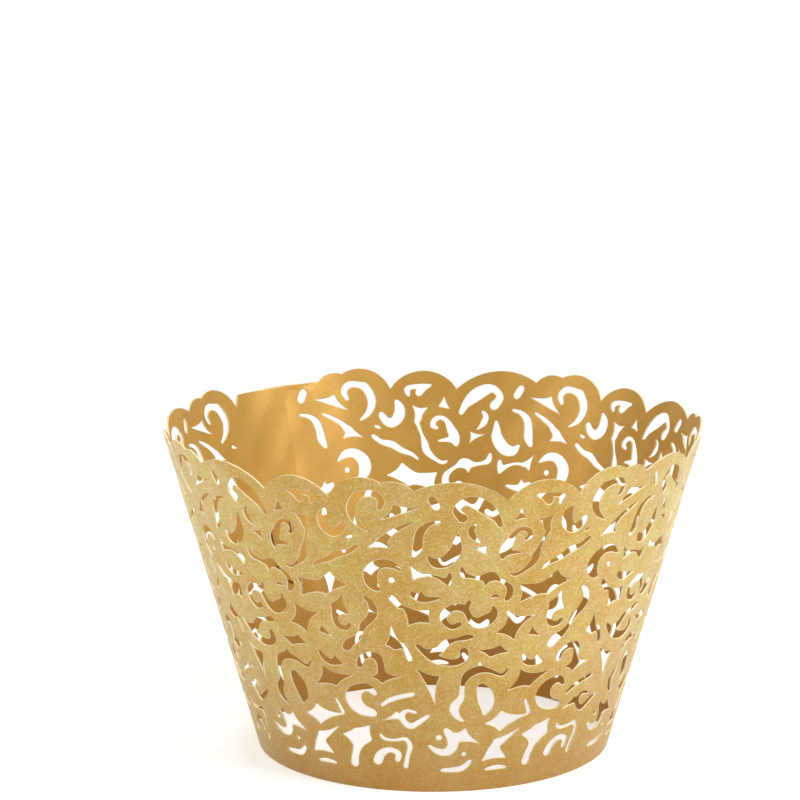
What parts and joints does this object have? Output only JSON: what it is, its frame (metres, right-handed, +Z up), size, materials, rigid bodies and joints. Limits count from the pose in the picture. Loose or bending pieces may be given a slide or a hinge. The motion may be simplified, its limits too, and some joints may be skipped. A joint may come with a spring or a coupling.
{
  "type": "cupcake wrapper",
  "caption": "Open conical paper sleeve for a cupcake, cut through with a scroll filigree, with a scalloped rim, a plain foot band and a tab-and-slit closure at the back.",
  "frame": {"origin": "centre of the foot, on the surface that the wrapper stands on", "axes": "+Z up along the cone's axis; the front faces -Y and the closure is at the back left"},
  "size_m": [0.0798, 0.0798, 0.0492],
  "materials": {
    "gold_card": "gold pearl, satin"
  },
  "bodies": {
    "root": {"wrapper_sleeve": "gold_card"}
  },
  "joints": []
}
